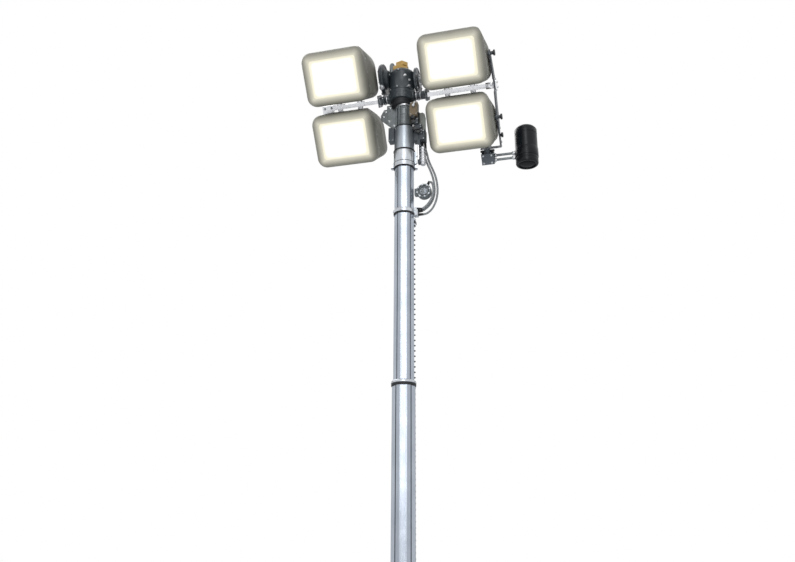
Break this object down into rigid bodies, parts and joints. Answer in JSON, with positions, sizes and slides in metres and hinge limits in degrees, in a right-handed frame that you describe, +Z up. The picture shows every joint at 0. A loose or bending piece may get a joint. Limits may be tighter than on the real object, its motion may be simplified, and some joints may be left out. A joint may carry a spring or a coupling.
{
  "type": "telescopic light mast",
  "caption": "Telescopic light mast on a bolted foot, with a panning and tilting head, floodlights in a bank on crossbars, service cables and a side sensor pod.",
  "frame": {"origin": "centre of the foot flange's underside", "axes": "+Z up along the mast, the lamps face -Y, +X to the right of someone facing the lamps from behind the camera"},
  "size_m": [1.0345, 0.5152, 3.9145],
  "materials": {
    "foot_paint": "satin",
    "tube_aluminium": "satin",
    "collar_aluminium": "satin",
    "cast_grey": "satin",
    "box_plastic": "matte",
    "switch_tan": "satin",
    "plug_metal": "satin",
    "cable_sheath": "matte",
    "cord_rubber": "matte",
    "housing_paint": "satin",
    "cap_amber": "gloss",
    "bar_steel": "satin",
    "plate_paint": "satin",
    "lamp_paint": "satin",
    "window_lit": "gloss",
    "heatsink_aluminium": "satin",
    "pod_black": "satin"
  },
  "bodies": {
    "base": {"foot_flange": "foot_paint", "lower_tube": "tube_aluminium", "guide_collar": "collar_aluminium", "cord_box": "box_plastic", "curly_cord": "cord_rubber"},
    "upper_mast": {"upper_tube": "tube_aluminium", "clamp_ring": "collar_aluminium", "eared_collar": "collar_aluminium", "head_adapter": "cast_grey", "spigot": "cast_grey", "gusset_bracket": "cast_grey", "limit_switch": "switch_tan", "gland_plate": "box_plastic", "plug_connector": "plug_metal", "junction_socket": "plug_metal", "service_cable_outer": "cable_sheath", "service_cable_inner": "cable_sheath", "socket_cable": "cable_sheath"},
    "pan_head": {"head_housing": "housing_paint", "hex_cap": "cap_amber", "left_cover": "housing_paint", "right_cover": "housing_paint"},
    "lamp_bank": {"tilt_shaft": "bar_steel", "tilt_hubs": "housing_paint", "left_crossbar": "bar_steel", "right_crossbar": "bar_steel", "left_side_plate": "plate_paint", "right_inner_plate": "plate_paint", "right_outer_plate": "plate_paint", "left_saddle": "cast_grey", "upper_left_lamp": "lamp_paint", "upper_left_window": "window_lit", "upper_left_heatsink": "heatsink_aluminium", "lower_left_lamp": "lamp_paint", "lower_left_window": "window_lit", "lower_left_heatsink": "heatsink_aluminium", "upper_right_lamp": "lamp_paint", "upper_right_window": "window_lit", "upper_right_heatsink": "heatsink_aluminium", "lower_right_lamp": "lamp_paint", "lower_right_window": "window_lit", "lower_right_heatsink": "heatsink_aluminium", "pod_block": "cast_grey", "pod_arms": "plug_metal", "sensor_pod": "pod_black"}
  },
  "joints": [
    {"name": "mast_slide", "type": "slide", "parent": "base", "child": "upper_mast", "axis": [0, 0, 1], "range_m": [-0.74, 0], "deforming": ["curly_cord"]},
    {"name": "head_pan", "type": "hinge", "parent": "upper_mast", "child": "pan_head", "pos_m": [0, 0, 3.679], "axis": [0, 0, 1], "range_deg": [-170, 170]},
    {"name": "lamp_tilt", "type": "hinge", "parent": "pan_head", "child": "lamp_bank", "pos_m": [0, 0, 3.70105], "axis": [1, 0, 0], "range_deg": [-36, 54]}
  ]
}
